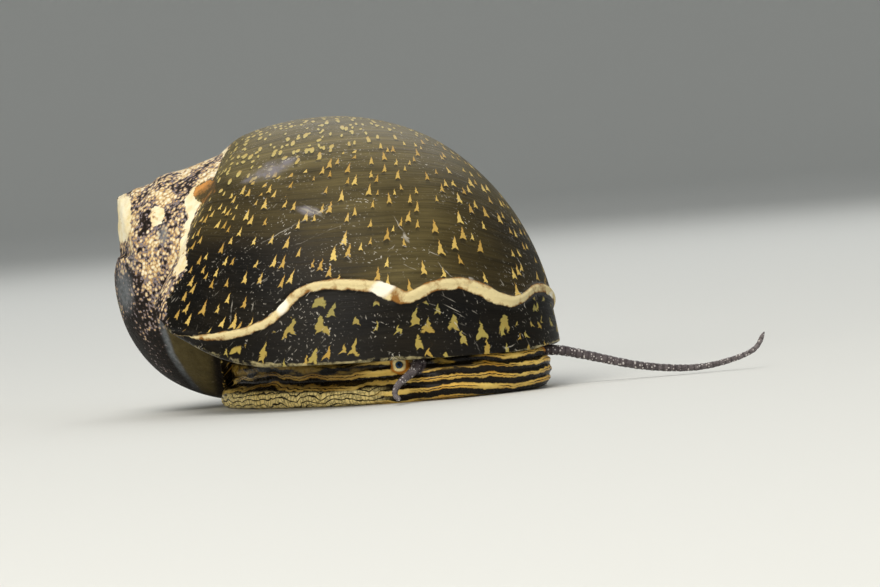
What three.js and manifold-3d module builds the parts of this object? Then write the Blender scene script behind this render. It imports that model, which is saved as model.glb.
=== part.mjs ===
// A nerite snail at rest on its foot, life size, in millimetres, +Z up.
// The origin is the centre of the flat sole, and the shell's apex points to -X.
import * as THREE from 'three';
import Module from 'manifold-3d';

// Driving dimensions
const clearance = 0.3;
const wall = 0.8;
const farOut = 30;

// The shell is a whorl outline that turns about an inclined axis and grows as it turns.
const apex = new THREE.Vector3(-14.33, 3.15, 12.4);
const axisDip = 37.5;
const axisLean = 1.5;
const depthRatio = 0.88;
const growthPerTurn = { last: 3.14, early: 2.65 };
const growthChange = { turn: -315, spread: 40 };
const scaleTurn = -90;

// Knots of the whorl outline: distance along the axis, distance out from it, turn of the lip in degrees.
const whorlKnots = [
  [3.6, 3.2, 30],
  [4.16, 6.89, 25],
  [8.28, 10.77, 13.5],
  [13.42, 12.37, -2.5],
  [18.82, 11.22, -20],
  [22.48, 7.80, -50],
  [24.21, 1.38, -100],
];
const coreAlong = 7;

// Lengths of the shell from the lip back to the apex: turns, steps, and how far along the outline.
const newerLengths = [
  { from: -35, to: 0, steps: 10, rows: 36, alongTo: 1, followsRestMark: true },
  { from: -150, to: -35, steps: 19, rows: 36, alongTo: 1 },
  { from: -300, to: -150, steps: 22, rows: 36, alongTo: 1 },
];
const olderLengths = [
  { from: -450, to: -300, steps: 20, rows: 36, alongTo: 1 },
  { from: -750, to: -450, steps: 25, rows: 18, alongTo: 0.5 },
  { from: -1100, to: -750, steps: 20, rows: 18, alongTo: 0.5 },
];
const apexCap = { depth: 0.62, poleRadius: 0.45, sideRadius: 0.62 };

// Lime fills the groove between the whorls nearly out to a cone, except beside the lip.
const sutureFill = {
  slope: 1.46, step: 0.012, rounding: 0.3, fade: 45, shoulder: 0.17, end: 0.5, endFade: 0.08,
};

// The rest mark, a raised welt where growth once paused: share of the outline, and growth there.
const restKnots = [
  [0, 8], [0.2, 2], [0.225, 0], [0.258, -2], [0.285, -4], [0.318, -6.5], [0.34, -9], [0.352, -12],
  [0.359, -15.5], [0.375, -17], [0.4, -17.5], [0.427, -17], [0.458, -16], [0.478, -14.5], [0.497, -12.7],
  [0.512, -13.7], [0.527, -15.5], [0.545, -16.4], [0.565, -17], [0.59, -16.4], [0.618, -14.6],
  [0.647, -13.6], [0.667, -15.2], [0.688, -18.3], [0.715, -19.4], [0.77, -19], [0.85, -17.5], [1, -17],
];
const restMark = {
  height: 0.16, halfWidthLeft: 0.19, halfWidthRight: 0.37, widensFrom: 0.25, widensTo: 0.55,
};
const weltCrest = 0.7;
const weltFoot = 1.5;
const newShellStep = 0.1;
const newShellFade = 3.5;

// The flat underside of the shell, and the recess behind the lip that takes the body.
const deck = { height: 2.42, slope: -0.02, lobeX: -9.1, lobeSkew: 0.1 };
const recess = {
  roof: 6.0, backY: 1.5, from: -120, to: 30, steps: 20, alongFrom: 0.1, alongTo: 0.95, rows: 18, core: 8.5,
};

// The foot is a rounded oval that points towards the camera side and to +X.
const heading = 52;
const foot = { length: 20.0, width: 16.0, height: 1.3, squareness: 2.35, waves: 17, waveDepth: 0.09 };
const column = { inset: 1.0, shoulder: 3.3, top: 4.4, topInset: 1.9 };
const mantle = { from: -112, to: -2, behindLip: 0.35 };
const head = { ahead: 7.9, halfWidth: 4.9, halfDepth: 3.1, bottom: 0.7, top: 3.0, squareness: 2.5 };
const mouth = { halfWidth: 1.1, height: 0.35 };

// Eyes stand on short stalks at the outer corners of the head, and the feelers grow beside them.
const stalk = { ahead: 8.05, side: 4.95, height: 2.1, sideRadius: 0.55, poleRadius: 0.62 };
const eye = { radius: 0.22, reach: 0.54, seatGap: 0.15 };
const look = { ahead: 0.75, side: 0.66 };
const feelerBase = { ahead: 8.8, side: 4.35, height: 2.15 };
const feeler = { baseRadius: 0.34, tipRadius: 0.13, sides: 12 };
const operculum = { back: 6.2, halfLength: 3.9, halfWidth: 2.6, thickness: 0.5, bottom: 1.6 };

const wasm = await Module();
wasm.setup();

const radians = THREE.MathUtils.degToRad;

// Shell axes: down the coiling axis, outwards above it, and outwards in front of it.
const cameraUp = new THREE.Vector3(0, Math.sin(radians(axisLean)), Math.cos(radians(axisLean)));
const across = new THREE.Vector3(1, 0, 0);
const axisDown = across.clone().multiplyScalar(Math.cos(radians(axisDip)))
  .addScaledVector(cameraUp, -Math.sin(radians(axisDip)));
const axisOut = across.clone().multiplyScalar(Math.sin(radians(axisDip)))
  .addScaledVector(cameraUp, Math.cos(radians(axisDip)));
const axisFront = new THREE.Vector3(0, -Math.cos(radians(axisLean)), Math.sin(radians(axisLean)));

// Heading axes of the foot and head on the floor.
const forward = new THREE.Vector3(Math.cos(radians(heading)), -Math.sin(radians(heading)), 0);
const leftward = new THREE.Vector3(Math.sin(radians(heading)), Math.cos(radians(heading)), 0);

function onFloor(ahead, side, height) {
  return new THREE.Vector3(0, 0, height).addScaledVector(forward, ahead).addScaledVector(leftward, side);
}

// Smooth curve through evenly spaced knots.
function knotValue(knots, along, column) {
  const place = THREE.MathUtils.clamp(along, 0, 1) * (knots.length - 1);
  const index = Math.min(Math.floor(place), knots.length - 2);
  const t = place - index;
  const b = knots[index][column];
  const c = knots[index + 1][column];
  const a = index > 0 ? knots[index - 1][column] : 2 * b - c;
  const d = index + 2 < knots.length ? knots[index + 2][column] : 2 * c - b;
  return 0.5 * (2 * b + (c - a) * t + (2 * a - 5 * b + 4 * c - d) * t * t + (3 * b - a - 3 * c + d) * t ** 3);
}

// Size of the whorl at a turn: the growth rate eases from the early whorls to the last one.
function whorlSize(turn) {
  const lastRate = Math.log(growthPerTurn.last) / 360;
  const earlyRate = Math.log(growthPerTurn.early) / 360;
  const eased = (degrees) => {
    const x = (degrees - growthChange.turn) / growthChange.spread;
    return growthChange.spread * Math.log(1 + Math.exp(x));
  };
  const sinceScale = turn - scaleTurn;
  return Math.exp(earlyRate * sinceScale + (lastRate - earlyRate) * (eased(turn) - eased(scaleTurn)));
}

// How far out the fill lifts the whorl outline on both sides of a suture.
function sutureLift(turn, along, down, out) {
  const { slope, step, rounding, fade, shoulder, end, endFade } = sutureFill;
  const isOwn = along < shoulder;
  const lipTurn = whorlKnots[0][2];
  const sinceLip = isOwn ? lipTurn - turn : lipTurn - turn - 360;
  const share = THREE.MathUtils.clamp(sinceLip / fade, 0, 1)
    * THREE.MathUtils.clamp((end - along) / endFade, 0, 1);
  const gap = down * (isOwn ? slope : slope - step) - out;
  return gap < -3 * rounding ? 0 : share * 0.5 * (gap + Math.hypot(gap, rounding));
}

function whorlPoint(growthTurn, along) {
  const turn = growthTurn + knotValue(whorlKnots, along, 2);
  const size = whorlSize(turn);
  const down = knotValue(whorlKnots, along, 0);
  const bareOut = knotValue(whorlKnots, along, 1);
  const out = (bareOut + sutureLift(turn, along, down, bareOut)) * size;
  return apex.clone()
    .addScaledVector(axisDown, down * size)
    .addScaledVector(axisFront, depthRatio * Math.cos(radians(turn)) * out)
    .addScaledVector(axisOut, -Math.sin(radians(turn)) * out);
}

// A point of the whorl surface moved along its normal.
function shellPoint(growthTurn, along, offset) {
  const point = whorlPoint(growthTurn, along);
  if (offset === 0) {
    return point;
  }
  const step = 0.01;
  const low = Math.max(0, along - step);
  const high = Math.min(1, along + step);
  const lengthwise = whorlPoint(growthTurn, high).sub(whorlPoint(growthTurn, low));
  const roundwise = whorlPoint(growthTurn + 1, along).sub(whorlPoint(growthTurn - 1, along));
  const normal = roundwise.cross(lengthwise).normalize();
  return point.addScaledVector(normal, offset);
}

// Growth at the rest mark, and half the width of its welt, at a share of the outline.
function restTurn(along) {
  const index = restKnots.findIndex(([share]) => share >= along);
  if (index <= 0) {
    return restKnots[0][1];
  }
  const [shareBefore, turnBefore] = restKnots[index - 1];
  const [shareAfter, turnAfter] = restKnots[index];
  return THREE.MathUtils.mapLinear(along, shareBefore, shareAfter, turnBefore, turnAfter);
}

function restHalfTurn(along) {
  const { halfWidthLeft, halfWidthRight, widensFrom, widensTo } = restMark;
  const widened = THREE.MathUtils.clamp((along - widensFrom) / (widensTo - widensFrom), 0, 1);
  const halfWidth = THREE.MathUtils.lerp(halfWidthLeft, halfWidthRight, widened);
  return halfWidth / radians(knotValue(whorlKnots, along, 1));
}

// Height of the welt above the shell, and the step down to the newer shell beyond it.
function restRelief(growthTurn, along) {
  const half = restHalfTurn(along);
  const gap = (growthTurn - restTurn(along)) / half;
  if (gap < -weltFoot) {
    return 0;
  }
  if (gap < weltFoot) {
    const crest = THREE.MathUtils.clamp((weltFoot - Math.abs(gap)) / (weltFoot - weltCrest), 0, 1);
    return restMark.height * crest - (gap > 0 ? newShellStep * (1 - crest) : 0);
  }
  const beyond = (gap - weltFoot) * half * radians(knotValue(whorlKnots, along, 1));
  return -newShellStep * Math.max(0, 1 - beyond / newShellFade);
}

// Growth at each step of a length of shell; the newest length follows the rest mark.
function growthAt({ from, to, steps, followsRestMark }, step, along) {
  if (!followsRestMark) {
    return THREE.MathUtils.lerp(from, to, step / steps);
  }
  const mark = restTurn(along);
  const half = restHalfTurn(along);
  const older = mark - weltFoot * half;
  const newer = mark + weltFoot * half;
  const followed = [
    from,
    THREE.MathUtils.lerp(from, older, 0.5),
    older,
    mark - weltCrest * half,
    mark + weltCrest * half,
    newer,
    THREE.MathUtils.lerp(newer, to, 0.25),
    THREE.MathUtils.lerp(newer, to, 0.5),
    THREE.MathUtils.lerp(newer, to, 0.75),
    to,
  ];
  const leastStep = 0.2;
  return step === steps ? to : Math.min(followed[step], to - leastStep * (steps - step));
}

function solidFrom(points, triangles) {
  const vertProperties = new Float32Array(points.flatMap((p) => [p.x, p.y, p.z]));
  const triVerts = new Uint32Array(triangles.flat());
  return new wasm.Manifold(new wasm.Mesh({ numProp: 3, vertProperties, triVerts }));
}

// Closed solid between a patch of the whorl surface and one point on the coiling axis.
function whorlWedge(length, offset) {
  const { steps, alongFrom = 0, alongTo, rows, core = coreAlong } = length;
  const points = [];
  const triangles = [];
  const width = rows + 1;
  for (let i = 0; i <= steps; i++) {
    for (let j = 0; j <= rows; j++) {
      const along = THREE.MathUtils.lerp(alongFrom, alongTo, j / rows);
      const growthTurn = growthAt(length, i, along);
      const relief = offset < 0 ? 0 : restRelief(growthTurn, along);
      points.push(shellPoint(growthTurn, along, offset + relief));
    }
  }
  const centre = points.length;
  points.push(apex.clone().addScaledVector(axisDown, core));
  for (let i = 0; i < steps; i++) {
    for (let j = 0; j < rows; j++) {
      const corner = i * width + j;
      triangles.push([corner, corner + width, corner + width + 1]);
      triangles.push([corner, corner + width + 1, corner + 1]);
    }
    triangles.push([centre, (i + 1) * width, i * width]);
    triangles.push([centre, i * width + rows, (i + 1) * width + rows]);
  }
  for (let j = 0; j < rows; j++) {
    triangles.push([centre, j, j + 1]);
    triangles.push([centre, steps * width + j + 1, steps * width + j]);
  }
  return solidFrom(points, triangles);
}

// Closed solid through a row of rings, each with the same number of points.
function solidThroughRings(rings) {
  const sides = rings[0].length;
  const points = rings.flat();
  const triangles = [];
  for (let i = 0; i + 1 < rings.length; i++) {
    for (let j = 0; j < sides; j++) {
      const a = i * sides + j;
      const b = i * sides + (j + 1) % sides;
      triangles.push([a, b, b + sides]);
      triangles.push([a, b + sides, a + sides]);
    }
  }
  for (const [ring, first] of [[0, true], [rings.length - 1, false]]) {
    const centre = new THREE.Vector3();
    rings[ring].forEach((p) => centre.addScaledVector(p, 1 / sides));
    points.push(centre);
    for (let j = 0; j < sides; j++) {
      const a = ring * sides + j;
      const b = ring * sides + (j + 1) % sides;
      triangles.push(first ? [points.length - 1, b, a] : [points.length - 1, a, b]);
    }
  }
  return solidFrom(points, triangles);
}

// Upright loaf with a rounded oval plan, given as levels of height and inset.
function loaf(centre, halfAhead, halfSide, squareness, levels, sides, edge = () => 0) {
  const rings = levels.map(([height, inset]) => {
    const ring = [];
    for (let j = 0; j < sides; j++) {
      const angle = 2 * Math.PI * j / sides;
      const cos = Math.cos(angle);
      const sin = Math.sin(angle);
      const ahead = Math.sign(cos) * Math.abs(cos) ** (2 / squareness) * (halfAhead - inset + edge(angle));
      const side = Math.sign(sin) * Math.abs(sin) ** (2 / squareness) * (halfSide - inset + edge(angle));
      ring.push(onFloor(ahead, side, height).add(centre));
    }
    return ring;
  });
  return solidThroughRings(rings);
}

// Ellipsoid whose poles lie on the given direction.
function ellipsoid(centre, direction, poleRadius, sideRadius, sides = 16) {
  const geometry = new THREE.SphereGeometry(1, sides, sides / 2);
  return fromGeometry(geometry.scale(sideRadius, poleRadius, sideRadius)
    .applyQuaternion(new THREE.Quaternion().setFromUnitVectors(new THREE.Vector3(0, 1, 0), direction))
    .translate(centre.x, centre.y, centre.z));
}

// Solid from a closed three.js geometry, with the points that share a place joined.
function fromGeometry(geometry) {
  const place = geometry.getAttribute('position');
  const index = geometry.getIndex();
  const keys = new Map();
  const points = [];
  const shared = [];
  for (let i = 0; i < place.count; i++) {
    const point = new THREE.Vector3().fromBufferAttribute(place, i);
    const key = point.toArray().map((value) => value.toFixed(5)).join();
    if (!keys.has(key)) {
      keys.set(key, points.length);
      points.push(point);
    }
    shared.push(keys.get(key));
  }
  const triangles = [];
  for (let i = 0; i < index.count; i += 3) {
    const corners = [0, 1, 2].map((k) => shared[index.getX(i + k)]);
    if (new Set(corners).size === 3) {
      triangles.push(corners);
    }
  }
  return solidFrom(points, triangles);
}

function block(low, high) {
  const size = new THREE.Vector3(...high).sub(new THREE.Vector3(...low));
  const middle = new THREE.Vector3(...low).addScaledVector(size, 0.5);
  const geometry = new THREE.BoxGeometry(size.x, size.y, size.z);
  return fromGeometry(geometry.translate(middle.x, middle.y, middle.z));
}

// Space below the flat underside, to the right of the lobe of the older whorl.
function footWell(swell) {
  const top = (x) => deck.height + deck.slope * x - swell;
  const left = (y) => deck.lobeX + deck.lobeSkew * y + swell;
  const ring = (y) => [
    new THREE.Vector3(left(y), y, -farOut),
    new THREE.Vector3(farOut, y, -farOut),
    new THREE.Vector3(farOut, y, top(farOut)),
    new THREE.Vector3(left(y), y, top(left(y))),
  ];
  return solidThroughRings([ring(farOut), ring(-farOut)]);
}

// Space in front of the back wall of the recess and below its roof.
function mouthSpace(swell) {
  return block([-farOut, -farOut, -farOut], [farOut, recess.backY - swell, recess.roof - swell]);
}

// The shell, or the shell swollen by a clearance so that it can cut its neighbours.
function shellSolid(swell) {
  const turnPerMm = 6;
  const alongPerMm = 0.05;
  const swellTurn = swell * turnPerMm;
  const join = (lengths) => lengths
    .map((length) => whorlWedge({ ...length, to: length.to === 0 ? swellTurn : length.to }, swell))
    .reduce((joined, wedge) => joined.add(wedge));
  const hollow = whorlWedge({
    ...recess,
    from: recess.from + swellTurn,
    to: recess.to - swellTurn,
    alongFrom: recess.alongFrom + swell * alongPerMm,
    alongTo: recess.alongTo - swell * alongPerMm,
  }, -wall - swell).intersect(mouthSpace(swell));
  const capCentre = apex.clone().addScaledVector(axisDown, apexCap.depth);
  const cap = ellipsoid(capCentre, axisDown, apexCap.poleRadius + swell, apexCap.sideRadius + swell);
  return join(newerLengths).subtract(hollow).add(join(olderLengths)).add(cap).subtract(footWell(swell));
}

// The mantle fills the hollow behind the lip.
function mantleSolid() {
  const { from, to, behindLip } = mantle;
  return whorlWedge({ ...recess, from, to }, -wall - behindLip)
    .intersect(mouthSpace(clearance));
}

// Keeps the largest closed surface of a solid.
function largestOf(solid) {
  const pieces = solid.decompose().filter((piece) => piece.volume() > 0);
  return pieces.reduce((best, piece) => (piece.volume() > best.volume() ? piece : best));
}

const snail = new THREE.Group();

function addMesh(name, solid, colour, roughness) {
  const mesh = largestOf(solid).getMesh();
  const geometry = new THREE.BufferGeometry();
  geometry.setAttribute('position', new THREE.Float32BufferAttribute(mesh.vertProperties, 3));
  geometry.setIndex(Array.from(mesh.triVerts));
  geometry.computeVertexNormals();
  const material = new THREE.MeshStandardMaterial({ color: colour, roughness, metalness: 0 });
  const piece = new THREE.Mesh(geometry, material);
  piece.name = name;
  snail.add(piece);
}

// Shell
addMesh('shell', shellSolid(0), 0x3a3120, 0.35);
const shellCutter = shellSolid(clearance);

// Foot, with a wavy margin and a low front under the head
const headLevels = (swell) => [
  [head.bottom - swell, 0.5 - swell],
  [head.bottom + 0.35, -swell],
  [1.5, 0.12 - swell],
  [2.2, 0.6 - swell],
  [head.top + swell, 1.3 - swell],
];
const headLoaf = (swell) => loaf(onFloor(head.ahead, 0, 0), head.halfDepth, head.halfWidth,
  head.squareness, headLevels(swell), 40);
const headCutter = headLoaf(clearance);
const footEdge = (angle) => foot.waveDepth * Math.sin(foot.waves * angle);
const footLevels = [
  [0, 0.25],
  [0.22, 0.04],
  [0.6, 0],
  [1.0, 0.12],
  [foot.height, 0.42],
];
const footLoaf = loaf(new THREE.Vector3(), foot.length / 2, foot.width / 2, foot.squareness, footLevels,
  84, footEdge);
addMesh('foot', footLoaf.subtract(headCutter).subtract(shellCutter), 0x8a7440, 0.45);

// Eye stalks, short and rounded, each with an eye set in its outer face
const bulbCutters = [];
for (const [name, side] of [['right', -1], ['left', 1]]) {
  const gaze = onFloor(look.ahead, side * look.side, 0).normalize();
  const bulbCentre = onFloor(stalk.ahead, side * stalk.side, stalk.height);
  const bulb = (swell) => ellipsoid(bulbCentre, gaze, stalk.poleRadius + swell, stalk.sideRadius + swell);
  bulbCutters.push(bulb(clearance));
  const eyeCentre = bulbCentre.clone().addScaledVector(gaze, eye.reach);
  const socket = ellipsoid(eyeCentre, gaze, eye.radius + eye.seatGap, eye.radius + eye.seatGap);
  const eyeBall = ellipsoid(eyeCentre, gaze, eye.radius, eye.radius, 12);
  const stalkSolid = bulb(0).subtract(socket).subtract(headCutter).subtract(shellCutter);
  addMesh(`eye_stalk_${name}`, stalkSolid, 0xb98a3a, 0.4);
  addMesh(`eye_${name}`, eyeBall.subtract(shellCutter), 0x101622, 0.1);
}
const headPartsCutter = bulbCutters.reduce((joined, cutter) => joined.add(cutter), headCutter);

// Body column that rises from the foot into the shell's recess
const columnLevels = [
  [foot.height + clearance, column.inset],
  [column.shoulder, column.inset],
  [column.top, column.topInset],
];
const columnLoaf = loaf(new THREE.Vector3(), foot.length / 2, foot.width / 2, foot.squareness, columnLevels,
  48);
const columnBody = columnLoaf.intersect(mouthSpace(clearance)).add(mantleSolid());
addMesh('body_column', columnBody.subtract(headPartsCutter).subtract(shellCutter), 0x4a3d22, 0.5);

// Head, with the line of the mouth low on its front
const mouthGroove = ellipsoid(onFloor(head.ahead + head.halfDepth, 0, head.bottom), leftward, mouth.halfWidth,
  mouth.height);
addMesh('head', headLoaf(0).subtract(mouthGroove).subtract(shellCutter), 0xa8762f, 0.45);

// Feelers: tapered, curved tubes, each in lengths that meet end to end
function feelerRings(curve, from, to, steps) {
  const rings = [];
  for (let i = 0; i <= steps; i++) {
    const t = THREE.MathUtils.lerp(from, to, i / steps);
    const centre = curve.getPointAt(t);
    const tangent = curve.getTangentAt(t);
    const side = new THREE.Vector3(0, 0, 1).cross(tangent).normalize();
    const up = tangent.clone().cross(side);
    const radius = THREE.MathUtils.lerp(feeler.baseRadius, feeler.tipRadius, t);
    const ring = [];
    for (let j = 0; j < feeler.sides; j++) {
      const angle = 2 * Math.PI * j / feeler.sides;
      ring.push(centre.clone().addScaledVector(side, radius * Math.cos(angle))
        .addScaledVector(up, radius * Math.sin(angle)));
    }
    rings.push(ring);
  }
  return rings;
}

function addFeeler(name, points, lengths, steps) {
  const curve = new THREE.CatmullRomCurve3(points, false, 'centripetal');
  const gapShare = clearance / curve.getLength();
  for (let k = 0; k < lengths; k++) {
    const from = k === 0 ? 0 : k / lengths + gapShare / 2;
    const to = k === lengths - 1 ? 1 : (k + 1) / lengths - gapShare / 2;
    const solid = solidThroughRings(feelerRings(curve, from, to, steps));
    addMesh(`${name}_${k + 1}`, solid.subtract(headPartsCutter).subtract(shellCutter), 0x6d6470, 0.5);
  }
}

addFeeler('feeler_left', [
  onFloor(feelerBase.ahead, feelerBase.side, feelerBase.height),
  new THREE.Vector3(9.7, -3.9, 2.0),
  new THREE.Vector3(11.0, -3.5, 1.68),
  new THREE.Vector3(14.3, -3.0, 0.74),
  new THREE.Vector3(17.0, -2.65, 0.36),
  new THREE.Vector3(19.0, -2.4, 0.5),
  new THREE.Vector3(20.8, -2.2, 1.05),
  new THREE.Vector3(21.5, -2.1, 2.0),
], 3, 10);
addFeeler('feeler_right', [
  onFloor(feelerBase.ahead, -feelerBase.side, feelerBase.height),
  new THREE.Vector3(1.8, -10.3, 2.0),
  new THREE.Vector3(1.4, -11.0, 1.55),
  new THREE.Vector3(0.65, -12.0, 0.7),
  new THREE.Vector3(0.9, -12.6, 0.32),
], 2, 8);

// Operculum: a half-moon plate on the back of the foot
const plate = loaf(onFloor(-operculum.back, 0, 0), operculum.halfWidth, operculum.halfLength, 2.2, [
  [operculum.bottom, 0.15],
  [operculum.bottom + operculum.thickness / 2, 0],
  [operculum.bottom + operculum.thickness, 0.3],
], 32);
addMesh('operculum', plate.subtract(shellCutter), 0x5b3a22, 0.35);

export default snail;
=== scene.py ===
import functools
import math

import bmesh
import bpy
import numpy as np
from mathutils import Matrix, Vector


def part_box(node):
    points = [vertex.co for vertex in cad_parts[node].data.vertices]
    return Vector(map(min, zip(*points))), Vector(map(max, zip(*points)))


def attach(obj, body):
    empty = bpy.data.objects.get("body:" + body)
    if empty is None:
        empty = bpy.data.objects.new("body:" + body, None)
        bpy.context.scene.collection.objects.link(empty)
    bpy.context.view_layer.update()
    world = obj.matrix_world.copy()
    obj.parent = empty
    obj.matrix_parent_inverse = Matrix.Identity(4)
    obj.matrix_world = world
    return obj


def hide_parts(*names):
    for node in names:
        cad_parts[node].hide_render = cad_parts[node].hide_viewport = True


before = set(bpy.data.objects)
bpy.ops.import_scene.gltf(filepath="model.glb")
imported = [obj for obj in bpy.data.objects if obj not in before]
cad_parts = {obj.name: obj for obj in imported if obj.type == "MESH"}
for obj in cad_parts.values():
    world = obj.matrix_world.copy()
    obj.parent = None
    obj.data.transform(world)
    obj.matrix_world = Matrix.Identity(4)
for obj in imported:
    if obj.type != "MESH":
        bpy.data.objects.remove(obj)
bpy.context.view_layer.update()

# Shell
# A nerite's shell is a thick chalky wall under a thin, glossy, dark horny skin. It only grows at
# its lip, along a logarithmic spiral, so it is one outline wound round a leaning axis.
# Sizes are in millimetres and degrees. Growth is 0 at the lip and negative in older shell.
MM = 0.001
APEX = (-14.33, 3.15, 12.4)
AXIS_DIP = 37.5
AXIS_LEAN = 1.5
DEPTH_RATIO = 0.88
GROWTH_PER_TURN_LAST = 3.14
GROWTH_PER_TURN_EARLY = 2.65
GROWTH_CHANGE_TURN = -315
GROWTH_CHANGE_SPREAD = 40
SCALE_TURN = -90
WHORL_LENGTH = 32.0      # along the outline from suture to base, where the shell has size 1

# Knots of the whorl outline: distance down the axis, distance out from it, turn of the lip.
WHORL_KNOTS = (
    (3.6, 3.2, 30),
    (4.16, 6.89, 25),
    (8.28, 10.77, 13.5),
    (13.42, 12.37, -2.5),
    (18.82, 11.22, -20),
    (22.48, 7.8, -50),
    (24.21, 1.38, -100),
)

# The rest mark, where growth once paused: share of the outline, and growth there.
REST_KNOTS = (
    (0.00, 8.0), (0.2, 2.0), (0.225, 0.0), (0.258, -2.0), (0.285, -4.0), (0.318, -6.5), (0.34, -9.0),
    (0.352, -12.0), (0.359, -15.5), (0.375, -17.0), (0.4, -17.5), (0.427, -17.0), (0.458, -16.0),
    (0.478, -14.5), (0.497, -12.7), (0.512, -13.7), (0.527, -15.5), (0.545, -16.4), (0.565, -17.0),
    (0.59, -16.4), (0.618, -14.6), (0.647, -13.6), (0.667, -15.2), (0.688, -18.3), (0.715, -19.4),
    (0.77, -19.0), (0.85, -17.5), (1.0, -17.0),
)
REST_HEIGHT = 0.16
STEP_DOWN = 0.1
STEP_FADE = 3.5

# Lime fills the groove between the worn whorls nearly out to a cone, except beside the lip.
FILL_SLOPE = 1.46
FILL_STEP = 0.012
FILL_ROUNDING = 0.3
FILL_FADE = 45
FILL_END = 0.5
FILL_END_FADE = 0.08

# The first whorl is closed by a floor round the axis, and its tip is worn to a slanting facet.
FLOOR_SHARES = (0.0, 0.35, 0.7)
FIRST_WHORL_END = -632
FACET_NORMAL = (-0.966, -0.259, 0.0)
FACET_REACH = 13.03
FACET_LOWEST = 9.0
FACET_RELIEF = 0.08

# The well in the flat underside that the body fills: its roof, and its wall under the callus.
DECK_HEIGHT = 2.42
DECK_SLOPE = -0.02
LOBE_X = -9.1
LOBE_SKEW = 0.1

# How the wall turns in at the lip: growth there, and how far in it lies.
WALL_ROLL = ((0.5, 0.06), (0.8, 0.2), (0.7, 0.38), (0.2, 0.52), (-2.0, 0.62), (-9.0, 0.7), (-24.0, 0.8))


def knot_curve(knots, along):
    """Smooth curve through evenly spaced knots."""
    knots = np.asarray(knots, float)
    place = np.clip(along, 0, 1) * (len(knots) - 1)
    index = np.minimum(place.astype(int), len(knots) - 2)
    t = (place - index)[..., None]
    padded = np.vstack([2 * knots[0] - knots[1], knots, 2 * knots[-1] - knots[-2]])
    a, b, c, d = (padded[index + k] for k in range(4))
    return 0.5 * (2 * b + (c - a) * t + (2 * a - 5 * b + 4 * c - d) * t**2
                  + (3 * b - a - 3 * c + d) * t**3)


def rest_gap(growth, along):
    """Distance from the rest mark in mm, positive in the newer shell."""
    share, turn = np.array(REST_KNOTS).T
    fine = np.linspace(0, 1, 600)
    mark = np.interp(fine, share, turn)
    kernel = np.hanning(11) / np.hanning(11).sum()
    mark = np.convolve(np.pad(mark, 5, mode="edge"), kernel, mode="valid")
    near = growth > -60
    gap = np.full(growth.shape, -20.0)
    out = knot_curve(WHORL_KNOTS, along[near])[:, 1]
    best = np.full(near.sum(), 1e3)
    for share_here, turn_here in zip(fine, mark):
        across = WHORL_LENGTH * (along[near] - share_here)
        round_by = out * np.radians(growth[near] - turn_here)
        best = np.minimum(best, np.hypot(across, round_by))
    newer = growth[near] > np.interp(along[near], fine, mark)
    gap[near] = np.where(newer, best, -best)
    return gap


def suture_fill(growth, along, outline):
    """How far out worn shell and lime fill the groove between the whorls, as a rough cone."""
    shoulder = 0.17
    since_lip = WHORL_KNOTS[0][2] - growth - outline[:, 2]
    own = np.clip(since_lip / FILL_FADE, 0, 1)
    next_whorl = np.clip((since_lip - 360) / FILL_FADE, 0, 1)
    share = np.where(along < shoulder, own, next_whorl)
    slope = np.where(along < shoulder, FILL_SLOPE, FILL_SLOPE - FILL_STEP)
    cone = outline[:, 0] * slope
    gap = cone - outline[:, 1]
    rounded = 0.5 * (gap + np.sqrt(gap**2 + FILL_ROUNDING**2))
    share = share * np.clip((FILL_END - along) / FILL_END_FADE, 0, 1)
    return share * np.where(gap > -3 * FILL_ROUNDING, rounded, 0)


def write_attributes(mesh, **attributes):
    """Writes values for every vertex as named attributes, for the modifiers and the shaders."""
    for name, values in attributes.items():
        mesh.attributes.new(name, "FLOAT", "POINT").data.foreach_set("value", values)


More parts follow.
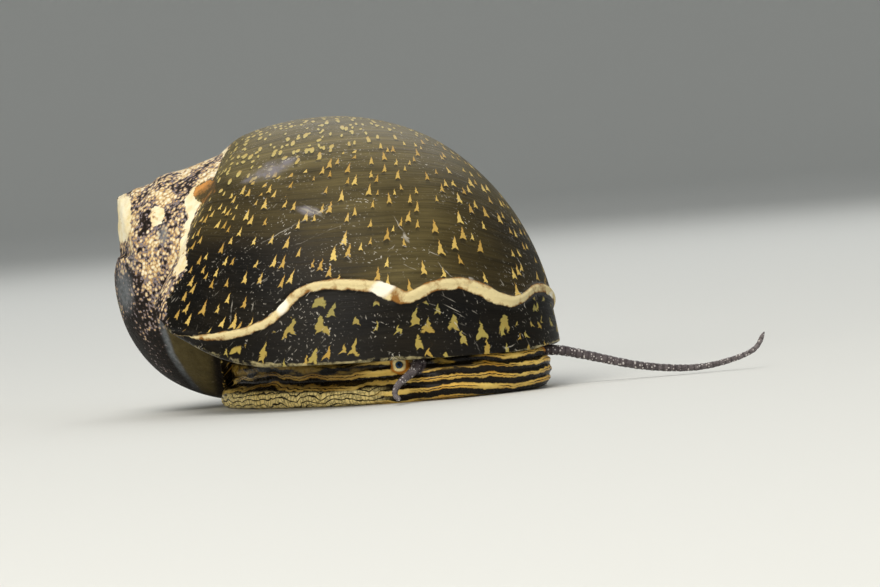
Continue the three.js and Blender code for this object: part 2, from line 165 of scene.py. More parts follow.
def unrolled_sheet():
    """The shell before it is wound: a flat grid of growth against share of the outline."""
    growth = np.concatenate([
        np.arange(-1720, -1000, 12.0),
        np.arange(-1000, -400, 4.0),
        np.arange(-400, -45, 1.5),
        np.arange(-45, 0.01, 0.3),
    ])
    inset = np.zeros(len(growth))
    roll = np.array(WALL_ROLL)
    growth = np.concatenate([growth, roll[:, 0]])
    inset = np.concatenate([inset, roll[:, 1]])
    rows = 170
    floor_rows = len(FLOOR_SHARES)
    across = np.concatenate([np.zeros(floor_rows), np.linspace(0, 1, rows + 1)])
    width = len(across)
    outward = np.tile(np.concatenate([FLOOR_SHARES, np.ones(rows + 1)]), len(growth))
    inset = np.repeat(inset, width)
    growth, along = (grid.ravel() for grid in np.meshgrid(growth, across, indexing="ij"))

    gap = rest_gap(growth, along)
    half = 0.19 + 0.18 * np.clip((along - 0.25) / 0.3, 0, 1)
    ridge = REST_HEIGHT * np.exp(-(gap / half) ** 4)
    step = STEP_DOWN * np.clip(gap / 0.1, 0, 1) * np.exp(-(np.maximum(gap, 0) / STEP_FADE) ** 2)
    inset = inset - ridge + step

    here = knot_curve(WHORL_KNOTS, along)
    here[:, 1] += suture_fill(growth, along, here)
    step_along = 0.002
    lengthwise = (knot_curve(WHORL_KNOTS, along + step_along)
                  - knot_curve(WHORL_KNOTS, along - step_along))[:, :2]
    lengthwise /= np.linalg.norm(lengthwise, axis=1)[:, None]
    outline = here.copy()
    outline[:, 0] += inset * lengthwise[:, 1]
    outline[:, 1] = (outline[:, 1] - inset * lengthwise[:, 0]) * outward

    corner = np.arange(len(growth)).reshape(-1, width)[:-1, :-1].ravel()
    spire_end = 0.56
    kept = (growth[corner] > -460) | (along[corner] < spire_end)
    kept &= (growth[corner] < FIRST_WHORL_END) | (corner % width >= floor_rows)
    corner = corner[kept]
    faces = np.stack([corner, corner + 1, corner + width + 1, corner + width], axis=1)
    sheet = bpy.data.meshes.new("unrolled_shell")
    flat = np.stack([growth * MM, along * 100 * MM, np.zeros(len(growth))], axis=1)
    sheet.from_pydata(flat.tolist(), [], faces.tolist())
    write_attributes(sheet, growth=growth, along=along, rest=gap)
    sheet.attributes.new("outline", "FLOAT_VECTOR", "POINT").data.foreach_set("vector", outline.ravel())
    return sheet


def linear(colour):
    """An sRGB hex colour as a linear RGBA value."""
    values = [int(colour[k:k + 2], 16) / 255 for k in (1, 3, 5)]
    return tuple(v / 12.92 if v <= 0.04045 else ((v + 0.055) / 1.055) ** 2.4 for v in values) + (1.0,)


def node(tree, kind, *values, **named):
    """Adds a node. Values fill its inputs in order, and a capitalised name is an input, a small one a
    setting. A kind in capitals is an operation of a Math node, or after VECTOR of a Vector Math node."""
    if kind.isupper():
        named["operation"] = kind.split()[-1]
        kind = "VectorMath" if " " in kind else "Math"
    if kind == "Mix":
        named.setdefault("data_type", "RGBA")
    made = tree.nodes.new(kind if kind.startswith(("Geometry", "NodeGroup")) else "ShaderNode" + kind)
    for name in filter(str.islower, named):
        setattr(made, name, named[name])
    pairs = list(zip([socket for socket in made.inputs if socket.enabled], values))
    pairs += [(made.inputs[name.replace("_", " ")], named[name]) for name in named if not name.islower()]
    for socket, value in pairs:
        if isinstance(value, str) and value.startswith("#"):
            value = linear(value)
        if isinstance(value, bpy.types.Node):
            value = next(out for out in value.outputs if out.enabled)
        if isinstance(value, bpy.types.NodeSocket):
            tree.links.new(value, socket)
        else:
            socket.default_value = value
    return made


def new_group(name, kind, inputs, outputs):
    """Starts a node group, and returns it with its inputs and the function that adds nodes to it."""
    tree = bpy.data.node_groups.new(name, kind + "NodeTree")
    for way, sockets in (("INPUT", inputs), ("OUTPUT", outputs)):
        for socket, what in sockets.items():
            tree.interface.new_socket(socket, in_out=way, socket_type="NodeSocket" + what)
    return tree, tree.nodes.new("NodeGroupInput").outputs, functools.partial(node, tree)


def winding_tree(sizes):
    """Winds the unrolled sheet round the axis, and lifts what lies below the flat underside."""
    kinds = {float: "Float", tuple: "Vector"}
    inputs = {name: kinds.get(type(value), "Material") for name, value in sizes.items()}
    tree, given, add = new_group("wind_shell", "Geometry", {"Geometry": "Geometry"} | inputs,
                                 {"Geometry": "Geometry"})

    growth = add("GeometryNodeInputNamedAttribute", Name="growth", data_type="FLOAT")
    outline = add("GeometryNodeInputNamedAttribute", Name="outline", data_type="FLOAT_VECTOR")
    knot = add("SeparateXYZ", outline).outputs
    turn = add("ADD", growth, knot[2])

    # Size of the whorl: the growth rate eases from the early whorls to the last one
    share = add("DIVIDE", add("SUBTRACT", turn, given["Change Turn"]), given["Spread"])
    soft = add("LOGARITHM", add("ADD", add("EXPONENT", share), 1), math.e)
    eased = add("MULTIPLY", soft, given["Spread"])
    late = add("MULTIPLY_ADD", eased, given["Rate Gain"], given["Size Offset"])
    size = add("EXPONENT", add("MULTIPLY_ADD", turn, given["Early Rate"], late))

    # Place on the spiral: out from the axis, turned about it, flattened a little in depth
    spoke = add("CombineXYZ", knot[0], add("MULTIPLY", knot[1], -1))
    scaled = add("VECTOR SCALE", spoke, add("MULTIPLY", size, MM))
    turned = add("VectorRotate", scaled, Angle=add("RADIANS", turn), rotation_type="X_AXIS")
    squeeze = add("CombineXYZ", 1, given["Depth Ratio"], 1)
    placed = add("VECTOR MULTIPLY", turned, squeeze)
    wound = add("GeometryNodeSetPosition", Geometry=given["Geometry"], Position=placed)
    dip = add("CombineXYZ", 0, given["Axis Dip"])
    dipped = add("GeometryNodeTransform", Geometry=wound, Rotation=dip)
    lean = add("CombineXYZ", given["Axis Lean"])
    leaning = add("GeometryNodeTransform", Geometry=dipped, Rotation=lean, Translation=given["Apex"])

    # The worn facet at the tip: what stands beyond it is pressed back nearly flat
    here = add("GeometryNodeInputPosition")
    beyond = add("VECTOR DOT_PRODUCT", here, given["Facet Normal"])
    tip_place = add("SeparateXYZ", here).outputs
    is_high = add("GREATER_THAN", tip_place[2], given["Facet Lowest"])
    kept_excess = add("MAXIMUM", add("SUBTRACT", beyond, given["Facet Reach"]), 0)
    drop = add("SUBTRACT", add("MULTIPLY", kept_excess, given["Facet Relief"]), kept_excess)
    press = add("VECTOR SCALE", given["Facet Normal"], drop)
    faceted = add("GeometryNodeSetPosition", Geometry=leaning, Selection=is_high, Offset=press)

    # The flat underside: what lies in the well of the foot moves to its nearest wall
    place = add("SeparateXYZ", add("GeometryNodeInputPosition")).outputs
    deck = add("MULTIPLY_ADD", place[0], given["Deck Slope"], given["Deck Height"])
    wall = add("MULTIPLY_ADD", place[1], given["Lobe Skew"], given["Lobe X"])
    under = add("SUBTRACT", deck, place[2])
    inside = add("SUBTRACT", place[0], wall)
    in_well = add("GREATER_THAN", add("MINIMUM", under, inside), 0)
    lifted = add("CombineXYZ", place[0], place[1], deck)
    aside = add("CombineXYZ", wall, place[1], place[2])
    nearest = add("Mix", add("GREATER_THAN", inside, under), aside, lifted, data_type="VECTOR")
    shaped = add("GeometryNodeSetPosition", Geometry=faceted, Selection=in_well, Position=nearest)

    smooth = add("GeometryNodeSetShadeSmooth", Geometry=shaped)
    bare = add("GeometryNodeRemoveAttribute", Geometry=smooth, Name="outline")
    real = add("GeometryNodeRealizeInstances", Geometry=bare)
    dressed = add("GeometryNodeSetMaterial", Geometry=real, Material=given["Material"])
    add("NodeGroupOutput", dressed)
    return tree


def placed_object(name, data):
    """Puts a mesh, lamp or camera into the scene as an object."""
    piece = bpy.data.objects.new(name, data)
    bpy.context.scene.collection.objects.link(piece)
    return piece


def apply_modifier(piece, kind, sizes=None, **settings):
    """Adds one modifier, keeps its result as the mesh, and removes it."""
    modifier = piece.modifiers.new(kind.lower(), kind)
    for name, value in settings.items():
        setattr(modifier, name, value)
    for item in modifier.node_group.interface.items_tree if sizes else ():
        if item.name in sizes:
            modifier[item.identifier] = sizes[item.name]
    graph = bpy.context.evaluated_depsgraph_get()
    result = bpy.data.meshes.new_from_object(piece.evaluated_get(graph))
    piece.modifiers.clear()
    piece.data = result


ROW_LEAN = (0.0006, 0.0027)    # how far a row of flecks moves along the outline in one degree
MM_PER_DEGREE = 0.2      # how much lip one degree of growth adds, at the middle of the last whorl


def fleck_group():
    """Rows of small tent-shaped flecks that run along the growth of the shell, one fleck in a cell."""
    tree, given, add = new_group("fleck_rows", "Shader", dict.fromkeys(
        ("Growth", "Along", "Round", "Rows", "Shift", "Pitch", "Seed", "Width", "Length", "Chance",
         "Notch", "Bulge"), "Float"), dict.fromkeys(("Fleck", "Shade", "Tint", "Tip"), "Float"))

    # The row that a point lies in, and the cell along that row
    place = add("MULTIPLY_ADD", given["Along"], given["Rows"], given["Shift"])
    row = add("FLOOR", place)
    sideways = add("SUBTRACT", place, row)
    cells = add("DIVIDE", add("MULTIPLY", given["Growth"], MM_PER_DEGREE), given["Pitch"])
    row_random = add("TexWhiteNoise", add("CombineXYZ", row, given["Seed"]), noise_dimensions="3D")
    slid = add("MULTIPLY_ADD", row_random, 23, cells)
    cell = add("FLOOR", slid)
    onward = add("SUBTRACT", slid, cell)

    # Each cell draws its own place, size and lean
    drawn = add("TexWhiteNoise", add("CombineXYZ", row, cell, given["Seed"]), noise_dimensions="3D")
    draws = add("SeparateColor", drawn.outputs["Color"]).outputs
    there = add("LESS_THAN", drawn, given["Chance"])
    size = add("MapRange", draws[2], 0, 1, 0.55, 1.15)
    wide = add("MULTIPLY", size, given["Width"])
    long = add("MULTIPLY", size, given["Length"])
    off_x = add("SUBTRACT", sideways, add("MapRange", draws[0], 0, 1, 0.32, 0.68))
    off_y = add("SUBTRACT", onward, add("MULTIPLY", add("SUBTRACT", 1, long), draws[1]))
    y = add("DIVIDE", off_y, long)
    y_middle = add("SUBTRACT", y, 0.5)
    x_raw = add("DIVIDE", off_x, add("MULTIPLY", wide, 0.5))
    x = add("MULTIPLY_ADD", y_middle, add("MapRange", draws[0], 0, 1, 0.8, -0.8), x_raw)
    x_size = add("ABSOLUTE", x)

    # Inside the tent: narrower than the flank at this height, and above the hollow base
    power = add("SUBTRACT", 1.05, add("MULTIPLY", draws[2], given["Bulge"]))
    in_flank = add("SUBTRACT", add("POWER", add("MAXIMUM", y, 0), power), x_size)
    above = add("SUBTRACT", 1, add("MULTIPLY", add("SUBTRACT", 1, x_size), given["Notch"]))
    in_base = add("SUBTRACT", above, y)
    tent = add("MINIMUM", in_flank, add("MULTIPLY", in_base, 2))
    from_middle = add("CombineXYZ", x, add("MULTIPLY", y_middle, 2))
    oval = add("SUBTRACT", 0.84, add("VECTOR LENGTH", from_middle))
    soft = add("MapRange", add("Mix", given["Round"], tent, oval, data_type="FLOAT"), -0.02, 0.12)
    fleck = add("MULTIPLY", soft, there)
    # Shade: a painted shadow just below the base of each fleck
    shadow_below_base = add("MULTIPLY", add("MapRange", in_base, -0.5, 0), add("MapRange", y, 0.4, 0.8))
    shade = add("MULTIPLY", shadow_below_base, add("MapRange", x_size, 1.1, 0.5))
    shade_there = add("MULTIPLY", shade, there)
    tip_part = add("MapRange", y, 0.55, 0.15, 0, draws[2])
    add("NodeGroupOutput", fleck, shade_there, draws[1], tip_part)
    return tree


# Marks seen on the shell: where each starts and ends, as growth and share of the outline, and its
# half width in mm.
SCRATCHES = (
    (-33.5, 0.31, -39.5, 0.36, 0.045), (-41.0, 0.307, -34.5, 0.365, 0.055),
    (-25.5, 0.26, -35.0, 0.318, 0.035), (-27.5, 0.32, -33.5, 0.383, 0.025),
    (-17.5, 0.3, -20.0, 0.312, 0.03), (-35.0, 0.44, -26.0, 0.48, 0.025),
    (-30.5, 0.46, -26.3, 0.479, 0.07), (-22.0, 0.522, -17.5, 0.555, 0.022),
    (-24.5, 0.453, -26.5, 0.46, 0.03), (-22.0, 0.473, -25.0, 0.482, 0.02),
    (-58.5, 0.325, -55.0, 0.335, 0.04), (-24.5, 0.4, -22.5, 0.413, 0.03),
    (-39.5, 0.308, -37.0, 0.334, 0.1), (-37.5, 0.333, -35.4, 0.352, 0.08),
    (-13.2, 0.276, -7.0, 0.292, 0.035), (-13.5, 0.306, -10.8, 0.312, 0.025),
    (-1.6, 0.628, -4.2, 0.64, 0.05), (-4.2, 0.618, -3.2, 0.645, 0.045),
    (-3.2, 0.642, -0.8, 0.66, 0.045), (-1.4, 0.65, -2.2, 0.672, 0.04),
    (-5.5, 0.6, -1.0, 0.618, 0.025), (-44.5, 0.326, -43.3, 0.336, 0.08),
    (-57.3, 0.237, -55.4, 0.243, 0.16), (-54.3, 0.222, -52.9, 0.227, 0.14),
    (-19.0, 0.571, -18.0, 0.58, 0.12),
)
HAZE_PATCHES = ((-51.5, 0.2, -61.0, 0.275, 0.95), (-40.0, 0.3, -36.5, 0.345, 0.3))
WELT_WHITES = ((-15.5, 0.448, -15.5, 0.482, 0.6), (-12.3, 0.342, -13.0, 0.358, 0.5),
               (-16.0, 0.735, -17.5, 0.765, 0.6))


def scratch_group():
    """One scratch on the unrolled shell: a thin tapered line between two places, broken by noise."""
    tree, given, add = new_group("scratch", "Shader", dict.fromkeys(
        ("Place", "Start", "Run", "Side"), "Vector") | {"Width": "Float", "Wander": "Float"},
        {"Mark": "Float"})
    off = add("VECTOR SUBTRACT", given["Place"], given["Start"])
    onward = add("VECTOR DOT_PRODUCT", off, given["Run"])
    aside = add("VECTOR DOT_PRODUCT", off, given["Side"])
    centred = add("MapRange", onward, 0, 1, -1, 1, clamp=False)
    half = add("MULTIPLY", add("SUBTRACT", 1, add("MULTIPLY", centred, centred)), given["Width"])
    inside = add("SUBTRACT", half, add("ABSOLUTE", add("ADD", aside, given["Wander"])))
    mark = add("MapRange", add("DIVIDE", inside, given["Width"]), -0.1, 0.5)
    add("NodeGroupOutput", mark)
    return tree


def all_scratches(add, place, wander, group, marks):
    """The strongest of several marks at a place on the unrolled shell, in mm."""
    drawn = []
    for growth_start, along_start, growth_end, along_end, half_width in marks:
        start = Vector((growth_start * MM_PER_DEGREE, along_start * WHORL_LENGTH, 0))
        run = Vector((growth_end * MM_PER_DEGREE, along_end * WHORL_LENGTH, 0)) - start
        side = Vector((-run.y, run.x, 0)).normalized()
        drawn.append(add("Group", place, start, run / run.length_squared, side, half_width, wander,
                         node_tree=group))
    return functools.reduce(functools.partial(add, "MAXIMUM"), drawn)


def new_material(name):
    """Starts an empty material, and returns it with the function that adds nodes to it."""
    material = bpy.data.materials.new(name)
    material.use_nodes = True
    material.node_tree.nodes.clear()
    return material, functools.partial(node, material.node_tree)


def add_surface(add, colour, roughness, relief, depth, strength, **settings):
    """Ends a material: its colour and gloss, with the relief as bumps of a depth in metres."""
    bump = add("Bump", Height=relief, Distance=depth, Strength=strength)
    add("OutputMaterial", add("BsdfPrincipled", Base_Color=colour, Roughness=roughness, Normal=bump,
                              **settings))


def fill_ramp(ramp, *stops):
    """Sets the stops of a colour ramp, each a place from 0 to 1 and a colour."""
    held = ramp.color_ramp.elements
    held.remove(held[1])
    held[0].position, held[0].color = stops[0][0], linear(stops[0][1])
    for position, colour in stops[1:]:
        held.new(position).color = linear(colour)


# Worn periostracum over chalk: a thin horny skin that grew in fine lines and was scuffed by stones.
# It gives dark olive-brown with a satin gloss, ochre tents, and cream chalk where it has gone.
def shell_finish():
    material, add = new_material("worn_periostracum_over_chalk")
    growth, along, rest, bare, chalk, tan, callus, scuffed, grey, lime_band, horny, horn_light = (
        add("Attribute", attribute_name=name).outputs["Fac"]
        for name in ("growth", "along", "rest", "bare", "chalk", "tan", "callus", "scuffed", "grey",
                     "lime_band", "horny", "horn_light"))
    place = add("TexCoord").outputs["Object"]

    # Noise on the unrolled shell: growth lines about 0.12 mm apart, drawn a little coarser than life
    # so that they show, broader bands, the warp of the fleck rows, and the streaks of the worn lime
    unrolled = add("CombineXYZ", growth, along)
    lines, bands, warp, streaks = (
        add("TexNoise", add("VECTOR MULTIPLY", unrolled, stretch), Scale=1, Detail=detail,
            Roughness=roughness, Distortion=distortion)
        for stretch, detail, roughness, distortion in (
            ((1.3, 9, 1), 3, 0.65, 0), ((0.22, 5, 1), 2, 0.5, 0),
            ((0.06, 7, 1), 1, 0.5, 0), ((0.1, 22, 1), 3, 0.6, 0.8)))

    # Ground colour of the horny skin, darkened where its tan share carries painted shade
    tan_shift = add("MapRange", add("TexNoise", place, Scale=260, Detail=4), 0.3, 0.7, -0.1, 0.1)
    ground = add("ValToRGB", add("ADD", tan, tan_shift, use_clamp=True))
    fill_ramp(ground, (0, "#0c0a06"), (0.35, "#221c10"), (0.7, "#40371d"), (1, "#605636"))
    band_light = add("MapRange", bands, 0.3, 0.7, 0.72, 1.28)
    light = add("MULTIPLY", add("MapRange", lines, 0.3, 0.7, 0.62, 1.42), band_light)
    lined = add("VECTOR SCALE", ground, light)

    # Flecks: two interleaved sets of rows over the older shell, a denser set near the suture,
    # and larger, sparser ones in the newest shell
    warp_along = add("MapRange", warp, 0, 1, -0.008, 0.008)
    newer = add("MapRange", rest, 0.5, 0.6)
    mm_place = add("VECTOR MULTIPLY", unrolled, (MM_PER_DEGREE, WHORL_LENGTH, 1))
    ragged = add("TexNoise", mm_place, Scale=2.4, Detail=2).outputs["Color"]
    centred = add("VECTOR SUBTRACT", ragged, (0.5, 0.5, 0.5))
    swayed = add("VECTOR SCALE", centred, add("MapRange", newer, 0, 1, 0.15, 0.45))
    sway = add("SeparateXYZ", swayed).outputs
    growth_here = add("MULTIPLY_ADD", sway[0], 1 / MM_PER_DEGREE, growth)
    along_fray = add("ADD", along, add("MapRange", lines, 0.3, 0.7, -0.0012, 0.0012))
    along_swayed = add("MULTIPLY_ADD", sway[1], 1 / WHORL_LENGTH, add("ADD", along_fray, warp_along))
    row_lean = add("MapRange", along, 0.2, 0.5, -ROW_LEAN[0], -ROW_LEAN[1])
    along_here = add("MULTIPLY_ADD", growth, row_lean, along_swayed)
    round_place = add("MULTIPLY_ADD", along, 80, growth)
    round_far = add("MapRange", round_place, -28, -40)
    rounding = add("MULTIPLY", round_far, add("MapRange", along, 0.45, 0.6, 1, 0))
    near_suture = add("MapRange", round_place, -18, -32)
    near_chance = add("MULTIPLY", near_suture, add("MapRange", along, 0.26, 0.4, 0.45, 0))
    group = fleck_group()
    older = add("MapRange", rest, -0.15, -0.25)
    fleck = None
    # Each set has its rows, shift, pitch, seed, width, length, chance, notch, bulge and whereabouts
    for *numbers, where in (
        (38, 0, 1.12, 3, 0.4, 0.78, 0.6, 0.14, 0, older),
        (38, 0.5, 1.12, 8, 0.36, 0.68, 0.44, 0.12, 0.1, older),
        (42, 0.25, 0.85, 14, 0.48, 0.52, near_chance, 0.1, 0.1, older),
        (29, 0.2, 1.2, 21, 0.5, 0.7, 0.62, 0.2, 0.6, newer),
        (36, 0.7, 1, 29, 0.36, 0.68, 0.5, 0.16, 0.5, newer),
    ):
        layer = add("Group", growth_here, along_here, rounding, *numbers, node_tree=group)
        mask, dark = (add("MULTIPLY", layer.outputs[name], where) for name in ("Fleck", "Shade"))
        tint_here, tip_here = layer.outputs["Tint"], layer.outputs["Tip"]
        if fleck is None:
            fleck, shade, tint, tip = mask, dark, tint_here, tip_here
        else:
            tint = add("Mix", mask, tint, tint_here, data_type="FLOAT")
            tip = add("Mix", mask, tip, tip_here, data_type="FLOAT")
            fleck = add("MAXIMUM", fleck, mask)
            shade = add("MAXIMUM", shade, dark)
    # Painted shadow below each fleck: the ground is darkened toward near-black there
    shaded = add("Mix", add("MULTIPLY", shade, 0.7), lined, "#0d0a07")
    pale_part = add("MULTIPLY", rounding, 0.9)
    ochre = add("Mix", pale_part, add("Mix", tint, "#ae8a40", "#d6ba68"), "#b9aa68")
    newest = add("Mix", add("MapRange", growth, -11, -4), "#877e46", "#a9873b")
    olive = add("Mix", tint, newest, "#9c8f4b")
    fleck_colour = add("Mix", newer, add("Mix", add("MULTIPLY", tip, 0.35), ochre, "#b4713c"), olive)
    flecked = add("Mix", fleck, shaded, fleck_colour)

    # Rest mark: a raised cream welt of bare lime, stained brown in places
    wobble_noise = add("TexNoise", place, Scale=1500, Detail=3)
    wobble = add("MapRange", wobble_noise, 0, 1, -0.13, 0.13)
    welt_start = add("MapRange", along, 0.245, 0.272)
    welt_half = add("MULTIPLY", add("MapRange", along, 0.27, 0.5, 0.15, 0.3), welt_start)
    welt_in = add("SUBTRACT", welt_half, add("ABSOLUTE", add("ADD", rest, wobble)))
    welt = add("MapRange", welt_in, -0.02, 0.03)
    stain = add("TexNoise", place, Scale=700, Detail=5, Roughness=0.7)
    stain_part = add("MapRange", stain, 0.42, 0.66)
    stain_blots = add("MULTIPLY_ADD", wobble_noise, 0.8, stain)
    stain_there = add("ADD", stain_blots, add("MapRange", welt_in, 0, 0.14, 0.2, -0.04))
    lime = add("Mix", add("MapRange", stain_there, 0.9, 1.15), "#dccb98", "#8a5f2a")
    wander = add("MapRange", wobble_noise, 0.3, 0.7, -0.05, 0.05)
    scratches = scratch_group()
    welt_white = all_scratches(add, mm_place, wander, scratches, WELT_WHITES)
    with_welt = add("Mix", welt, flecked, add("Mix", welt_white, lime, "#f8f1dd"))

    # Scuffs: the marks seen on it, short pale scratches in three directions and specks of lime
    seen_scratch = all_scratches(add, mm_place, wander, scratches, SCRATCHES)
    seen_mark = add("MULTIPLY", seen_scratch, add("MapRange", stain, 0.44, 0.62, 0, 0.75))
    seen_haze = all_scratches(add, mm_place, wander, scratches, HAZE_PATCHES)
    scratch = []
    for turn_y, turn_z, seed_shift in ((0.55, 0.2, 0), (-0.75, -0.3, 0.03), (1.25, 0.4, 0.07)):
        streak_place = add("Mapping", place, Location=(seed_shift,) * 3, Rotation=(0.2, turn_y, turn_z),
                           Scale=(0.0022, 0.00012, 0.00012), vector_type="TEXTURE")
        streak = add("TexNoise", streak_place, Scale=1, Detail=1)
        scratch.append(add("MapRange", streak, 0.7, 0.75))
    scratch = functools.reduce(functools.partial(add, "MAXIMUM"), scratch)
    patches = add("TexNoise", place, Scale=420, Detail=3)
    scuff_share = add("ADD", add("MapRange", patches, 0.45, 0.64, 0.08, 0.85), scuffed, use_clamp=True)
    speck_cells = add("TexVoronoi", place, Scale=4200)
    speck_draw = add("SeparateColor", speck_cells.outputs["Color"]).outputs
    speck_there = add("MapRange", speck_draw[0], 0.86, 1)
    speck = add("MULTIPLY", add("MapRange", speck_cells, 0.26, 0.12), speck_there)
    marks_here = add("MAXIMUM", add("MULTIPLY", add("MAXIMUM", scratch, speck), scuff_share), seen_mark)
    haze_part = add("MULTIPLY", seen_haze, add("MapRange", stain, 0.42, 0.58, 0.15, 0.9))
    haze_here = add("SUBTRACT", haze_part, marks_here, use_clamp=True)
    hazed = add("Mix", haze_here, add("Mix", marks_here, with_welt, "#b9b3a6"), "#7b777c")

    # Lip: a thin broken crust of new lime on the edge
    edge = add("MapRange", add("MULTIPLY_ADD", wobble, 4, growth), -0.35, -0.05)
    crust_colour = add("Mix", patches, "#6e5f33", "#d8cc9c")
    crusted = add("Mix", add("MULTIPLY", edge, add("MapRange", stain, 0.46, 0.6)), hazed, crust_colour)

    # Worn spire: bare lime in fine mottling, from dark skin left in the pits to clean white lime
    mottle = add("TexNoise", place, Scale=3800, Detail=4, Roughness=0.6, Distortion=0.3)
    blotch = add("TexNoise", place, Scale=750, Detail=3)
    knob = add("MapRange", add("TexVoronoi", place, Scale=4300), 0.15, 0.6, 0.36, 0)
    mixed_streaks = add("MULTIPLY_ADD", streaks, 0.5, add("ADD", blotch, mottle))
    level = add("MULTIPLY_ADD", chalk, 0.9, add("ADD", mixed_streaks, knob))
    worn = add("ValToRGB", add("MapRange", level, 1.2, 2.4))
    fill_ramp(worn, (0.18, "#171310"), (0.36, "#261e19"), (0.43, "#4c3d33"), (0.47, "#85808a"),
              (0.53, "#8d7966"), (0.58, "#c0965f"), (0.64, "#d9c190"), (0.78, "#e9dcba"), (0.92, "#f3ebd6"))
    smooth_lime = add("Mix", stain_part, "#f8efd2", "#e6d196")
    band_swayed = add("ADD", lime_band, add("MapRange", streaks, 0.3, 0.7, -0.45, 0.45))
    band_noisy = add("ADD", band_swayed, add("MapRange", blotch, 0.3, 0.7, -0.45, 0.45))
    band_edge = add("MapRange", band_noisy, 0.45, 0.6)
    band_in = add("MULTIPLY", band_edge, add("MapRange", lime_band, 0.02, 0.12))
    bare_here = add("ADD", bare, add("MapRange", mottle, 0.3, 0.7, -0.25, 0.25))
    bare_in = add("MapRange", bare_here, 0.47, 0.53)
    with_bare = add("Mix", bare_in, crusted, add("Mix", band_in, worn, smooth_lime))
    grain = add("TexNoise", place, Scale=900, Detail=6, Roughness=0.75)
    grain_part = add("MapRange", grain, 0.35, 0.65)
    # Grey: the painted highlight along the end of the callus, and the grey patches
    grey_part = add("MULTIPLY", grey, add("MapRange", mottle, 0.35, 0.6, 0.5, 1))
    with_grey = add("Mix", grey_part, with_bare, "#757a7e")
    horn_blend = add("ADD", horn_light, add("MapRange", grain, 0.35, 0.65, -0.6, 0.6), use_clamp=True)
    horn_here = add("ADD", horny, add("MapRange", grain, 0.35, 0.65, -0.5, 0.35))
    horn_in = add("MapRange", horn_here, 0.4, 0.6, 0, 0.9)
    with_horn = add("Mix", horn_in, with_grey, add("Mix", horn_blend, "#4a3c22", "#d0904a"))

    # Callus: smooth olive lime that the mantle laid over the older whorl beside the mouth
    with_callus = add("Mix", callus, with_horn, add("Mix", grain_part, "#433a20", "#5a5031"))

    # Gloss: the skin is satin, bare lime is matt
    matt = add("MAXIMUM", bare_in, welt)
    roughness = add("Mix", matt, add("MapRange", lines, 0.3, 0.7, 0.36, 0.52), 0.62, data_type="FLOAT")
    height = add("MULTIPLY_ADD", add("MULTIPLY", mottle, matt), 2, add("ADD", lines, bands))
    add_surface(add, with_callus, roughness, height, 0.00004, 0.8, Specular_IOR_Level=0.13)
    return material


def smooth_step(low, high, value):
    """Eases from 0 at low to 1 at high. Low may lie above high."""
    share = np.clip((value - low) / (high - low), 0, 1)
    return share * share * (3 - 2 * share)


# The edge between worn spire and dark skin on the camera's side: heights, and places across.
WORN_EDGE = ((5.5, 6.5, 7.4, 8.15, 9.8, 10.7, 11.67, 12.94, 13.55, 14.84),
             (-11.6, -11.6, -10.9, -10.3, -10.2, -9.9, -9.4, -9.45, -9.5, -7.7))
FAR_EDGE = ((-300, -118, -60), (0.09, 0.125, 0.1))    # on the far side: growth, and outline share

# The grey line where the callus ends on the old whorl, a painted highlight along that edge: heights, places
# across, and its strength.
HIGHLIGHT_BAND = ((0.79, 2.25, 3.34, 4.29, 5.04, 6.0), (-10.47, -11.3, -11.82, -12.02, -12.19, -12.25))
HIGHLIGHT_FADE = ((0.8, 2.0, 3.0, 4.5, 5.3, 5.9), (0.1, 0.5, 1.0, 0.9, 0.6, 0.0))

# By height: how white the worn lime is, the strength and width of the white band beside the edge,
# and the right side of the worn facet.
CHALK = ((3.2, 4.5, 5.5, 7.5, 9.0, 11.0, 12.5, 14.0), (0.0, 0.2, 0.32, 0.52, 0.62, 0.5, 0.56, 0.62))
BAND_FADE = ((7.6, 8.6, 12.2, 12.9), (0.0, 1.0, 1.0, 0.3))
BAND_WIDTH = ((8.0, 9.0, 10.8, 11.3, 11.7, 12.4), (0.75, 0.5, 0.42, 0.7, 0.95, 0.6))
FACET_RIGHT = ((9.7, 12.3), (-13.85, -13.35))

# Patches: centre in mm, and radius where one is given.
WHITE_PATCHES = (((-11.98, -0.3, 11.2), 0.62), ((-9.95, -0.5, 11.75), 0.55), ((-12.5, 0.0, 10.3), 0.3))
GREY_PATCHES = (((-14.1, 1.2, 7.2), 0.7), ((-13.4, 0.6, 8.6), 0.4), ((-11.6, -1.0, 10.0), 0.35))
SCUFFED_PATCHES = (((-5.75, -3.97, 13.3), 1.1), ((-2.77, -7.6, 10.74), 0.9), ((1.82, -8.54, 9.12), 0.6),
                   ((3.2, -9.5, 7.0), 0.7), ((7.6, -7.6, 3.4), 0.8))
HORN_PATCH = (-8.95, -1.4, 12.3)


def read_vertices(mesh, what="co"):
    """The place, or the normal, of every vertex."""
    values = np.empty(len(mesh.vertices) * 3)
    mesh.vertices.foreach_get(what, values)
    return values.reshape(-1, 3)


def reach(place, centre, stretch=(1, 1, 1)):
    """Distance from a centre, made shorter along each direction by its stretch."""
    return np.linalg.norm((place - centre) / stretch, axis=1)


def patched(place, patches, outer, inner, stretch=(1, 1, 1)):
    """How far each place lies in the nearest patch: 0 outside, rising to 1 between two radii."""
    return np.max([smooth_step(outer * radius, inner * radius, reach(place, centre, stretch))
                   for centre, radius in patches], axis=0)


